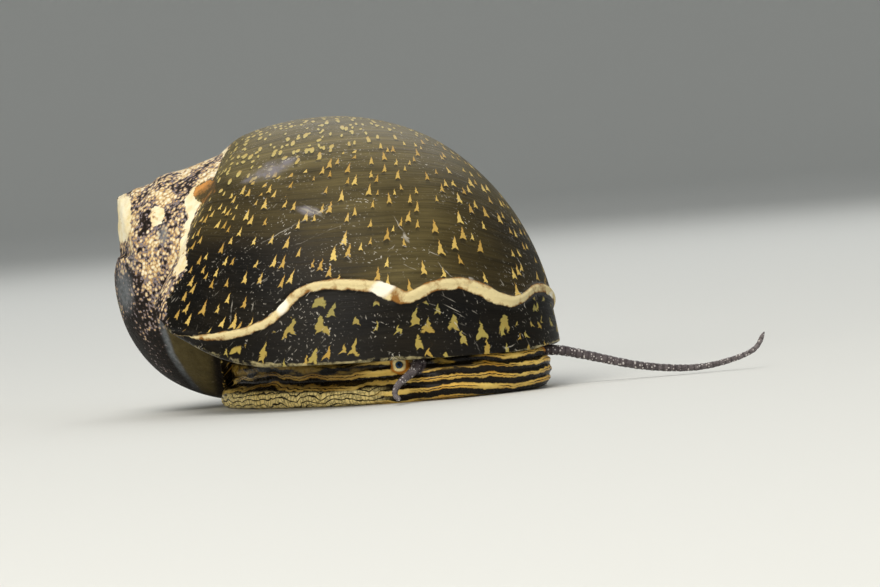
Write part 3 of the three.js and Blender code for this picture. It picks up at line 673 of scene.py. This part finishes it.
def paint_shell(mesh):
    """Writes where the shell is worn, chalky, tan or in painted shade, scuffed or covered with callus, as
    attributes.
    """
    place = read_vertices(mesh) / MM
    x, y, z = place.T
    growth, along, rest = (np.empty(len(place)) for _ in range(3))
    for name, values in (("growth", growth), ("along", along), ("rest", rest)):
        mesh.attributes[name].data.foreach_get("value", values)

    # How far a point lies on the worn side of the edge of the skin, in mm
    old = growth < FAR_EDGE[0][0]
    worn_near = np.interp(z, *WORN_EDGE) - x
    worn_far = np.where(old, 3.0, (np.interp(growth, *FAR_EDGE) - along) * 30)
    far = smooth_step(0.5, 3.0, y)
    worn = worn_near * (1 - far) + worn_far * far
    worn = np.where(old & (z > 5.5), np.maximum(worn, 0.6), worn)
    low = smooth_step(6.2, 5.2, z) * smooth_step(6.0, 2.5, y + 0.5 * np.sin(2.1 * z))
    lobe = low * smooth_step(-8.9, -9.5, x) * smooth_step(-236, -254, growth)
    bare = smooth_step(-0.4, 0.4, np.maximum(worn, lobe * 3 - 1))

    # White lime: a band beside the edge, a ledge by the suture, patches, and the facet at the tip
    chalk = np.interp(z, *CHALK) * smooth_step(9.0, 3.0, y)
    chalk -= 0.16 * smooth_step(-12.9, -13.9, x) * smooth_step(10.0, 9.0, z)
    width = np.interp(z, *BAND_WIDTH)
    lime_band = smooth_step(width + 0.2, width - 0.2, worn_near) * smooth_step(0.0, 0.1, worn_near)
    lime_band *= np.interp(z, *BAND_FADE) * (1 - far)
    ledge = smooth_step(0.13, 0.1, along) * smooth_step(-175, -145, growth)
    lime_band = np.maximum(lime_band, 0.9 * ledge * smooth_step(-55, -75, growth))
    lime_band = np.maximum(lime_band, patched(place, WHITE_PATCHES, 1.3, 0.7, (0.8, 2, 1)))
    past_facet = x - np.interp(z, *FACET_RIGHT) + 0.25 * np.maximum(y - 1.5, 0)
    facet = smooth_step(0.12, -0.12, past_facet) * smooth_step(9.7, 10.1, z) * smooth_step(7.5, 6.5, y)
    lime_band = np.maximum(lime_band, facet)
    chalk = np.maximum(chalk, lime_band)

    # Skin: tan toward the base and the top, with painted shade on the right of the newest shell and on the
    # low far side
    tan = smooth_step(0.35, 0.53, along + np.clip(-growth - 13, 0, 60) / 150)
    # Painted shade: darker on the right of the newest shell, the side turned from the key light
    tan *= 0.78 * (1 - 0.5 * smooth_step(0.47, 0.62, along) * smooth_step(-55, -35, growth))
    tan += 0.25 * smooth_step(-26, -36, growth + 80 * along)
    tan = np.maximum(tan, 0.6 * smooth_step(8.0, 10.8, z))
    # Painted shade on the low far side
    far_side_shade = smooth_step(-170, -225, growth) * smooth_step(9.0, 6.0, z) * smooth_step(9.0, 4.5, y)
    tan = tan * smooth_step(0.15, -0.3, rest) * (1 - 0.9 * far_side_shade) + 0.05

    # Callus on the old whorl, ending in a grey line of painted highlight, and the patches of grey and of
    # bare horn
    beside = x - np.interp(z, *HIGHLIGHT_BAND)
    callus = lobe * smooth_step(0.05, 0.3, beside) * smooth_step(5.9, 5.5, z) * smooth_step(-9.3, -9.9, x)
    grey = lobe * smooth_step(-0.3, 0.02, beside) * smooth_step(0.4, 0.1, beside)
    grey *= np.interp(z, *HIGHLIGHT_FADE)
    grey = np.maximum(grey, 0.8 * patched(place, GREY_PATCHES, 1.4, 0.5, (1, 2, 1.8)))
    horny = smooth_step(1.1, 0.6, reach(place, HORN_PATCH, (1, 2.5, 0.8)))
    horn_light = smooth_step(0.0, 0.8, (z - HORN_PATCH[2]) - 0.9 * (x - HORN_PATCH[0]))
    bare *= 1 - smooth_step(0.2, 0.8, horny)
    scuffed = patched(place, SCUFFED_PATCHES, 1, 0.2)
    write_attributes(mesh, bare=bare, chalk=chalk, tan=tan, callus=callus, grey=grey, lime_band=lime_band,
                     horny=horny, horn_light=horn_light, scuffed=scuffed)


early_rate = math.log(GROWTH_PER_TURN_EARLY) / 360
rate_gain = math.log(GROWTH_PER_TURN_LAST) / 360 - early_rate
eased_at_scale = GROWTH_CHANGE_SPREAD * math.log1p(
    math.exp((SCALE_TURN - GROWTH_CHANGE_TURN) / GROWTH_CHANGE_SPREAD))
shell_sizes = {
    "Change Turn": float(GROWTH_CHANGE_TURN),
    "Spread": float(GROWTH_CHANGE_SPREAD),
    "Early Rate": early_rate,
    "Rate Gain": rate_gain,
    "Size Offset": -early_rate * SCALE_TURN - rate_gain * eased_at_scale,
    "Depth Ratio": DEPTH_RATIO,
    "Axis Dip": math.radians(AXIS_DIP),
    "Axis Lean": -math.radians(AXIS_LEAN),
    "Apex": tuple(value * MM for value in APEX),
    "Facet Normal": FACET_NORMAL,
    "Facet Reach": FACET_REACH * MM,
    "Facet Lowest": FACET_LOWEST * MM,
    "Facet Relief": FACET_RELIEF,
    "Deck Height": DECK_HEIGHT * MM,
    "Deck Slope": DECK_SLOPE,
    "Lobe X": LOBE_X * MM,
    "Lobe Skew": LOBE_SKEW,
    "Material": shell_finish(),
}
shell = placed_object("snail_shell", unrolled_sheet())
apply_modifier(shell, "NODES", shell_sizes, node_group=winding_tree(shell_sizes))
paint_shell(shell.data)
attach(shell, "root")
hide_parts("shell")

# Soft body
# The living animal: a broad foot, a short striped snout and two thin feelers, all one moist skin.
# It is one closed mesh, so no seam shows, and it rises into the shell where the lip hides it.
HEADING = math.radians(52)
FORWARD = np.array((math.cos(HEADING), -math.sin(HEADING), 0))
LEFTWARD = np.array((math.sin(HEADING), math.cos(HEADING), 0))
SKIN_VOXEL = 0.098
STRIPE_PITCH = 0.56
MANTLE_PATCH = (9.3, -5.0, 3.0)
CORD_PITCH = 0.29        # one cord of the foot's margin
FOLD_RELIEF = 0.07
RIB_RELIEF = 0.035
RIBS_PER_RADIAN = 13

# Loaves: half length, half width and squareness of the plan, and levels of height and inset.
FOOT_PLAN = (10.0, 8.0, 2.35)
HEAD_PLAN = (3.1, 4.9, 2.5)
HEAD_AHEAD = 7.9
FOOT_LEVELS = ((0.0, 0.35), (0.12, 0.12), (0.4, 0.0), (0.8, 0.02), (1.1, 0.22), (1.35, 0.8))
FLANK_LEVELS = ((0.7, 1.0), (1.3, 0.8), (1.9, 0.62), (2.5, 0.7), (3.3, 0.9), (4.4, 1.8))
HEAD_LEVELS = ((0.03, 0.75), (0.2, 0.32), (0.6, 0.08), (1.4, 0.0), (2.1, 0.28), (2.7, 0.7), (3.1, 1.4))
STALK_PLACE = (8.05, 4.95, 2.1)
STALK_RADIUS = 0.58
EYE_OFFSET = 0.54        # from the middle of the stalk to the middle of the eye
FEELER_BASE_RADIUS = 0.33
FEELER_TIP_RADIUS = 0.13
LEFT_FEELER = ((7.6, -4.1, 2.2), (9.7, -3.9, 2.0), (11.0, -3.5, 1.68), (14.3, -3.0, 0.74),
               (17.0, -2.65, 0.36), (19.0, -2.4, 0.5), (20.8, -2.2, 1.05), (21.5, -2.1, 2.0))
RIGHT_FEELER = ((2.15, -9.3, 2.3), (1.91, -10.3, 1.86), (1.5, -11.0, 1.52), (1.02, -11.6, 1.2),
                (0.74, -12.0, 0.86), (0.71, -12.3, 0.56), (0.93, -12.6, 0.3))


def on_floor(ahead, side, height):
    """A place, or a direction, given along the animal, to its left, and up."""
    return FORWARD * ahead + LEFTWARD * side + np.array((0, 0, height))


def eye_line(side, outward):
    """A place on the line from the middle of an eye stalk out through its eye."""
    ahead, aside, height = STALK_PLACE
    gaze = on_floor(0.75, side * 0.66, 0)
    return on_floor(ahead, side * aside, height) + gaze / np.linalg.norm(gaze) * outward


def add_rings(body, rings):
    """Adds a closed skin through rings of points, with a cap on each end."""
    rows = [[body.verts.new(point) for point in ring] for ring in rings]
    for low, high in zip(rows, rows[1:]):
        for k in range(len(low)):
            after = (k + 1) % len(low)
            body.faces.new((low[k], low[after], high[after], high[k]))
    body.faces.new(rows[0][::-1])
    body.faces.new(rows[-1])


def add_loaf(body, centre, half_ahead, half_side, squareness, levels):
    """Adds an upright loaf of rounded oval plan, given as levels of height and inset."""
    angles = np.linspace(0, 2 * math.pi, 120, endpoint=False)
    cos, sin = np.cos(angles), np.sin(angles)
    ahead = np.sign(cos) * np.abs(cos) ** (2 / squareness)
    side = np.sign(sin) * np.abs(sin) ** (2 / squareness)
    add_rings(body, [[centre + on_floor(a * (half_ahead - inset), b * (half_side - inset), height)
                      for a, b in zip(ahead, side)] for height, inset in levels])


def along_path(points, count):
    """Evenly spaced points on a smooth curve through given points, and the way it runs there."""
    fine = knot_curve(points, np.linspace(0, 1, 600))
    length = np.concatenate([[0], np.cumsum(np.linalg.norm(np.diff(fine, axis=0), axis=1))])
    at = np.linspace(0, length[-1], count)
    place = np.stack([np.interp(at, length, fine[:, k]) for k in range(3)], axis=1)
    run = np.gradient(place, axis=0)
    return place, run / np.linalg.norm(run, axis=1)[:, None]


def add_feeler(body, points):
    """Adds a tapered feeler with faint rings round it and a rounded tip."""
    steps, sides = 160, 16
    place, run = along_path(points, steps)
    rings = []
    for k in range(steps):
        share = k / (steps - 1)
        radius = FEELER_BASE_RADIUS + (FEELER_TIP_RADIUS - FEELER_BASE_RADIUS) * share ** 0.8
        radius *= 1 + 0.05 * math.sin(k * 1.9) + 0.03 * math.sin(k * 0.7)
        radius *= min(1, math.sqrt(max(0.04, (1 - share) * 40)))
        across = np.cross((0, 0, 1), run[k])
        across /= np.linalg.norm(across)
        upright = np.cross(run[k], across)
        rings.append([place[k] + radius * (across * math.cos(a) + upright * math.sin(a))
                      for a in np.linspace(0, 2 * math.pi, sides, endpoint=False)])
    add_rings(body, rings)


def mesh_piece(name, body):
    """Turns a bmesh into an object, with its faces pointing out."""
    bmesh.ops.recalc_face_normals(body, faces=body.faces[:])
    mesh = bpy.data.meshes.new(name)
    body.to_mesh(mesh)
    body.free()
    return placed_object(name, mesh)


def skin_base():
    """Foot, flank, snout and eye stalks, melted into one closed skin."""
    body = bmesh.new()
    for levels in (FOOT_LEVELS, FLANK_LEVELS):
        add_loaf(body, np.zeros(3), *FOOT_PLAN, levels)
    add_loaf(body, on_floor(HEAD_AHEAD, 0, 0), *HEAD_PLAN, HEAD_LEVELS)
    for side in (-1, 1):
        bmesh.ops.create_uvsphere(body, u_segments=24, v_segments=16, radius=STALK_RADIUS,
                                  matrix=Matrix.Translation(eye_line(side, 0)))
    piece = mesh_piece("snail_skin", body)
    apply_modifier(piece, "REMESH", mode="VOXEL", voxel_size=SKIN_VOXEL)
    apply_modifier(piece, "SMOOTH", factor=0.5, iterations=6)
    return piece


def skin_fields(place):
    """The angle round the body, how much a place belongs to the snout, and the wave of its stripes."""
    ahead = place @ FORWARD
    side = place @ LEFTWARD
    round_angle = np.arctan2(side, ahead)
    head = smooth_step(3.2, 5.2, ahead) * smooth_step(6.6, 5.4, np.abs(side))
    wave = 0.22 * np.sin(5 * round_angle + 0.6) + 0.09 * np.sin(13 * round_angle + 1.0)
    wave += 0.05 * np.sin(29 * round_angle + place[:, 2])
    return round_angle, head, wave


def wrinkle_skin(mesh):
    """Raises the wavy folds of the snout and flank, and the ribs at the rim of the foot."""
    place = read_vertices(mesh)
    normal = read_vertices(mesh, "normal")
    round_angle, head, wave = skin_fields(place)
    height = place[:, 2]
    phase = height / STRIPE_PITCH + wave
    fold = FOLD_RELIEF * np.cos(2 * math.pi * phase) * smooth_step(0.25, 0.7, height)
    rib = RIB_RELIEF * np.cos(round_angle * 2 * math.pi * RIBS_PER_RADIAN) * (1 - head)
    rib *= smooth_step(0.75, 0.35, height) * smooth_step(0.02, 0.15, height)
    upright = smooth_step(0.2, 0.6, 1 - np.abs(normal[:, 2]))
    place = place + normal * ((fold * (0.45 + 0.55 * head) + rib) * upright)[:, None]
    place[:, 2] = np.maximum(place[:, 2], 0)
    mesh.vertices.foreach_set("co", place.ravel())


def nearest_on_path(place, points):
    """Distance from each place to a feeler's middle line, and how far along it that is."""
    path, _ = along_path(points, 120)
    distance = np.full(len(place), 1e3)
    share = np.zeros(len(place))
    for k, point in enumerate(path):
        here = reach(place, point)
        share = np.where(here < distance, k / (len(path) - 1), share)
        distance = np.minimum(distance, here)
    return distance, share


def paint_skin(mesh):
    """Writes the run of the stripes, and where the feelers, snout, margin and eye rings lie."""
    place = read_vertices(mesh)
    _, head, wave = skin_fields(place)
    across, _, height = place.T
    feeler = feeler_at = np.zeros(len(place))
    for points in (LEFT_FEELER, RIGHT_FEELER):
        distance, share = nearest_on_path(place, points)
        near = smooth_step(0.52, 0.38, distance) * smooth_step(0.02, 0.1, share)
        feeler_at = np.where(near > feeler, share, feeler_at)
        feeler = np.maximum(feeler, near)
    flank = (1 - head) * smooth_step(1.75, 2.0, height + 0.3 * wave)
    # Painted shade: just under the shell's lip beside the snout, the stripes give way to the dark flank
    # colour
    lip_shade = smooth_step(1.62, 1.82, height) * smooth_step(1.4, 2.2, across) * (place[:, 1] < 0)
    flank = np.maximum(flank, lip_shade * smooth_step(6.4, 4.8, across))
    write_attributes(
        mesh, phase=height / STRIPE_PITCH + wave, feeler=feeler, feeler_at=feeler_at, head=head,
        flank=flank, height=height, margin=(1 - head) * smooth_step(0.95, 0.85, height + 0.3 * wave),
        eye_distance=np.minimum(*(reach(place, eye_line(side, EYE_OFFSET)) for side in (-1, 1))),
        mantle=smooth_step(1.5, 0.6, reach(place, MANTLE_PATCH)))


# Moist flesh: thin skin over muscle, wet with slime, folded in life into long wavy ridges.
# It gives ochre ridges with near-black furrows, wet points of light, and cream cells at the rim.
def skin_finish():
    material, add = new_material("moist_striped_flesh")
    given = {name: add("Attribute", attribute_name=name).outputs["Fac"]
             for name in ("phase", "feeler", "feeler_at", "eye_distance", "head", "flank", "margin",
                          "height", "mantle")}
    place = add("TexCoord").outputs["Object"]

    # Stripes: ridges are ochre and furrows black, and their widths wander
    drift = add("TexNoise", place, Scale=420, Detail=2)
    fine = add("TexNoise", place, Scale=2600, Detail=3, Roughness=0.6)
    fine_shift = add("MapRange", fine, 0.3, 0.7, -0.08, 0.08)
    shift = add("ADD", add("MapRange", drift, 0.3, 0.7, -0.2, 0.2), fine_shift)
    phase = add("ADD", given["phase"], shift)
    width_place = add("Mapping", place, Scale=(220, 220, 1500))
    width = add("MapRange", add("TexNoise", width_place, Scale=1, Detail=2), 0.3, 0.7, -0.75, 0.6)
    head_rise = add("MapRange", given["head"], 0, 1, -0.25, 0)
    ridge_here = add("ADD", add("COSINE", add("MULTIPLY", phase, 2 * math.pi)), head_rise)
    above = add("SUBTRACT", ridge_here, width)
    vein = add("MapRange", add("COSINE", add("MULTIPLY", phase, 4 * math.pi)), 0.95, 0.78)
    vein_open = add("MAXIMUM", vein, add("MapRange", drift, 0.5, 0.58))
    stripe_veined = add("MULTIPLY", add("MapRange", above, -0.1, 0.22), vein_open)
    amber_noise = add("MapRange", drift, 0.35, 0.65)
    dull_amber = add("Mix", amber_noise, "#8c6a2a", "#c6aa5e")
    amber = add("Mix", given["head"], dull_amber, add("Mix", amber_noise, "#b88a33", "#dec06a"))
    rim_light = add("MapRange", above, 0, 0.8, 0.62, 1.15)
    black = add("Mix", fine, "#080604", "#1b150c")
    striped = add("Mix", stripe_veined, black, add("VECTOR SCALE", amber, rim_light))

    # Flank under the lip: dark, with long olive and rust patches; beside the snout the same colour is
    # painted shade under the lip
    long_place = add("Mapping", place, Scale=(520, 520, 2100))
    patches = add("TexNoise", long_place, Scale=1, Detail=4, Roughness=0.6)
    rust = add("Mix", fine, "#6f4c1c", "#94803a")
    dark_flank = add("Mix", add("MapRange", patches, 0.46, 0.58), "#0e0b06", rust)
    with_flank = add("Mix", given["flank"], striped, dark_flank)

    # Margin of the foot: cream cells in a dark net, with fine upright ribs at the rim
    cord_place = add("Mapping", place, Scale=(520, 520, 400))
    cord_drift = add("TexNoise", cord_place, Scale=1, Detail=3, Roughness=0.55)
    cord_shift = add("MapRange", cord_drift, 0.25, 0.75, -1.2, 1.2)
    cord_turn = add("MULTIPLY_ADD", given["height"], 1 / CORD_PITCH, cord_shift)
    cord = add("ABSOLUTE", add("SINE", add("MULTIPLY", cord_turn, math.pi)))
    rib_place = add("Mapping", place, Scale=(4300, 4300, 1200))
    ribs = add("TexVoronoi", rib_place, Scale=1, feature="DISTANCE_TO_EDGE")
    rib_net = add("MapRange", ribs, 0.02, 0.14, 0.45, 1)
    net_all = add("MULTIPLY", add("MapRange", cord, 0.18, 0.45), rib_net)
    cream_part = add("MULTIPLY", net_all, add("MapRange", given["height"], 0.02, 0.12, 0.4, 1))
    rim = add("Mix", cream_part, "#1c160b", add("Mix", drift, "#e3c468", "#faecb0"))

    # Eye ring: cream next to the eye, then orange over the stalk
    ring_orange = add("MapRange", given["eye_distance"], 0.75, 0.5)
    stalk_orange = add("Mix", ring_orange, add("Mix", given["margin"], with_flank, rim), "#b26f22")
    ringed = add("Mix", add("MapRange", given["eye_distance"], 0.44, 0.34), stalk_orange, "#e9d69a")

    # Feelers: mauve-grey with dark rings and rows of white specks
    ring_wave = add("SINE", add("MULTIPLY", given["feeler_at"], 260))
    mauve = add("Mix", fine, "#3b3335", add("Mix", given["feeler_at"], "#544b4d", "#8d8686"))
    ringed_mauve = add("Mix", add("MapRange", ring_wave, 0, 0.9, 0, 0.5), mauve, "#272123")
    speck_cells = add("TexVoronoi", place, Scale=7500)
    speck_draw = add("SeparateColor", speck_cells.outputs["Color"]).outputs
    speck_there = add("MapRange", speck_draw[0], 0.62, 0.64)
    speck = add("MULTIPLY", add("MapRange", speck_cells, 0.42, 0.3), speck_there)
    mantle_part = add("MapRange", add("ADD", given["mantle"], fine_shift), 0.4, 0.6)
    mantled = add("Mix", mantle_part, ringed, "#c9821f")
    coloured = add("Mix", given["feeler"], mantled, add("Mix", speck, ringed_mauve, "#c2bcb8"))

    relief = add("MULTIPLY_ADD", net_all, given["margin"], fine)
    gloss = add("MapRange", fine, 0.3, 0.7, 0.2, 0.38)
    add_surface(add, coloured, gloss, relief, 0.00006, 0.9, Specular_IOR_Level=0.16)
    return material


skin = skin_base()
wrinkle_skin(skin.data)
feelers = bmesh.new()
add_feeler(feelers, LEFT_FEELER)
add_feeler(feelers, RIGHT_FEELER)
feeler_piece = mesh_piece("feelers_raw", feelers)
apply_modifier(skin, "BOOLEAN", operation="UNION", object=feeler_piece, solver="MANIFOLD")
bpy.data.objects.remove(feeler_piece)
paint_skin(skin.data)
skin.data.transform(Matrix.Scale(MM, 4))
skin.data.shade_smooth()
skin.data.materials.clear()
skin.data.materials.append(skin_finish())
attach(skin, "root")
flesh = ("foot", "body_column", "head", "eye_stalk", "feeler")
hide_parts(*(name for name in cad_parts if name.startswith(flesh)))

# Eyes
# Two small dark eyes, each a wet clear cornea over a blue-black cup of pigment, set in its stalk.
EYE_RADIUS = 0.22


# Wet cornea over dark pigment: clear skin wet with slime, drawn as a smooth glossy surface.
# It gives a black pupil with a blue rim, and one sharp point of light.
def cornea_finish():
    material, add = new_material("wet_cornea_over_pigment")
    place = add("TexCoord").outputs["Object"]
    nearest = add("MINIMUM", *(add("VECTOR DISTANCE", place, eye_line(side, EYE_OFFSET + EYE_RADIUS) * MM)
                               for side in (-1, 1)))
    mottle = add("TexNoise", place, Scale=9000, Detail=3)
    reach_ragged = add("ADD", nearest, add("MapRange", mottle, 0.3, 0.7, -0.02 * MM, 0.02 * MM))
    cup = add("ValToRGB", add("MapRange", reach_ragged, 0, 0.26 * MM))
    fill_ramp(cup, (0, "#04060b"), (0.36, "#060a12"), (0.5, "#23405f"), (0.66, "#3a5a78"),
              (0.85, "#141c28"), (1, "#0a0d14"))
    add_surface(add, cup, 0.06, mottle, 0.000003, 0.3, IOR=1.38)
    return material


cornea = cornea_finish()
for name in ("eye_left", "eye_right"):
    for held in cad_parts[name].material_slots:
        held.material = cornea

# Operculum
# The horny door on the back of the foot, which shuts the mouth when the animal pulls in.
# It grew in arcs round one corner, and it is held by its flesh.
ARC_PITCH = 0.32         # between strong growth arcs; the finer ones are drawn at a third of this


# Horny conchiolin: a thin brown plate, laid down in arcs and polished by the shell.
# It gives red-brown bands from dark to amber with a satin gloss.
def operculum_finish():
    material, add = new_material("horny_conchiolin")
    place = add("TexCoord").outputs["Object"]
    low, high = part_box("operculum")
    nucleus = (high.x, low.y, low.z)
    reach = add("VECTOR DISTANCE", place, nucleus)
    uneven = add("TexNoise", place, Scale=500, Detail=3)
    reach_uneven = add("MULTIPLY_ADD", uneven, 0.3 * MM, reach)
    arc_phase = add("MULTIPLY", reach_uneven, 2 * math.pi / (ARC_PITCH * MM))
    fine_arc = add("SINE", add("MULTIPLY", arc_phase, 3))
    arcs = add("MULTIPLY_ADD", fine_arc, 0.4, add("SINE", arc_phase))
    brown = add("Mix", add("MapRange", arcs, -1.2, 1.2), "#2c170d", "#6e4222")
    amber = add("Mix", add("MapRange", uneven, 0.4, 0.7), brown, "#8d5a2c")
    add_surface(add, amber, add("MapRange", uneven, 0.3, 0.7, 0.28, 0.45), arcs, 0.00003, 0.6)
    return material


horn = operculum_finish()
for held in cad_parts["operculum"].material_slots:
    held.material = horn

# Studio floor
# A round tray of matt pale paper that curves up far from the snail, so no edge shows.
FLOOR_RADIUS = 1.2
COVE_RADIUS = 0.6
WALL_TOP = 1.6
floor_steps = 24
profile = [(FLOOR_RADIUS * k / 6, 0.0) for k in range(7)]
profile += [(FLOOR_RADIUS + COVE_RADIUS * math.sin(a), COVE_RADIUS * (1 - math.cos(a)))
            for a in np.linspace(0, math.pi / 2, floor_steps)[1:]]
profile += [(FLOOR_RADIUS + COVE_RADIUS, WALL_TOP)]
sides = 96
tray = bmesh.new()
rings = []
for radius, height in profile[1:]:
    rings.append([tray.verts.new((radius * math.cos(turn), radius * math.sin(turn), height))
                  for turn in np.linspace(0, 2 * math.pi, sides, endpoint=False)])
centre = tray.verts.new((0, 0, 0))
for k in range(sides):
    tray.faces.new((centre, rings[0][k], rings[0][(k + 1) % sides]))
    for low, high in zip(rings, rings[1:]):
        tray.faces.new((low[k], high[k], high[(k + 1) % sides], low[(k + 1) % sides]))
floor_mesh = bpy.data.meshes.new("studio_floor")
tray.to_mesh(floor_mesh)
tray.free()
floor_mesh.shade_smooth()
placed_object("studio_floor", floor_mesh)

# Matt paper gives an even pale grey ground with soft shadows and no gloss
paper, add = new_material("matt_backdrop_paper")
add("OutputMaterial", add("BsdfPrincipled", Base_Color="#d9dad6", Roughness=0.9))
floor_mesh.materials.append(paper)

# Studio light
# A large soft panel above and to the left, a low one for the foot, weaker ones from the right and
# from behind, and an even pale room.
for name, place, size, power, tint in (
    ("key_panel", (-0.1, -0.22, 0.38), 0.3, 1.35, "#fffaf2"),
    ("low_panel", (-0.14, -0.42, 0.06), 0.25, 1.1, "#fff8ec"),
    ("fill_panel", (0.35, -0.3, 0.15), 0.35, 0.28, "#f2f6ff"),
    ("back_panel", (0.05, 0.35, 0.35), 0.35, 0.7, "#ffffff"),
):
    panel = bpy.data.lights.new(name, "AREA")
    panel.size = size
    panel.energy = power
    panel.color = linear(tint)[:3]
    lamp = placed_object(name, panel)
    lamp.location = place
    lamp.rotation_euler = (Vector((0, 0, 0.006)) - Vector(place)).to_track_quat("-Z", "Y").to_euler()
room = bpy.data.worlds.new("pale_room")
room.use_nodes = True
room.node_tree.nodes["Background"].inputs["Color"].default_value = linear("#eef1f4")
room.node_tree.nodes["Background"].inputs["Strength"].default_value = 0.45
bpy.context.scene.world = room
bpy.context.scene.view_settings.view_transform = "Standard"

# Camera
# A long lens almost level with the snail. The frame is rolled, because the real one sat on a slope.
CAMERA_DISTANCE = 0.3
CAMERA_TILT = math.radians(1.5)
CAMERA_ROLL = math.radians(4.6)
CAMERA_AIM = Vector((3.56, 0.145, 5.537)) * MM
LENS = 217.5
up_level = Vector((0, math.sin(CAMERA_TILT), math.cos(CAMERA_TILT)))
backward = Vector((0, -math.cos(CAMERA_TILT), math.sin(CAMERA_TILT)))
rightward = Vector((1, 0, 0)) * math.cos(CAMERA_ROLL) - up_level * math.sin(CAMERA_ROLL)
upward = Vector((1, 0, 0)) * math.sin(CAMERA_ROLL) + up_level * math.cos(CAMERA_ROLL)
camera_data = bpy.data.cameras.new("camera")
camera_data.lens = LENS
camera_data.sensor_width = 36
camera_data.clip_start = 0.01
camera_data.clip_end = 20
camera = placed_object("camera", camera_data)
frame_turn = Matrix((rightward, upward, backward)).transposed().to_4x4()
camera.matrix_world = Matrix.Translation(CAMERA_AIM + backward * CAMERA_DISTANCE) @ frame_turn
bpy.context.scene.camera = camera
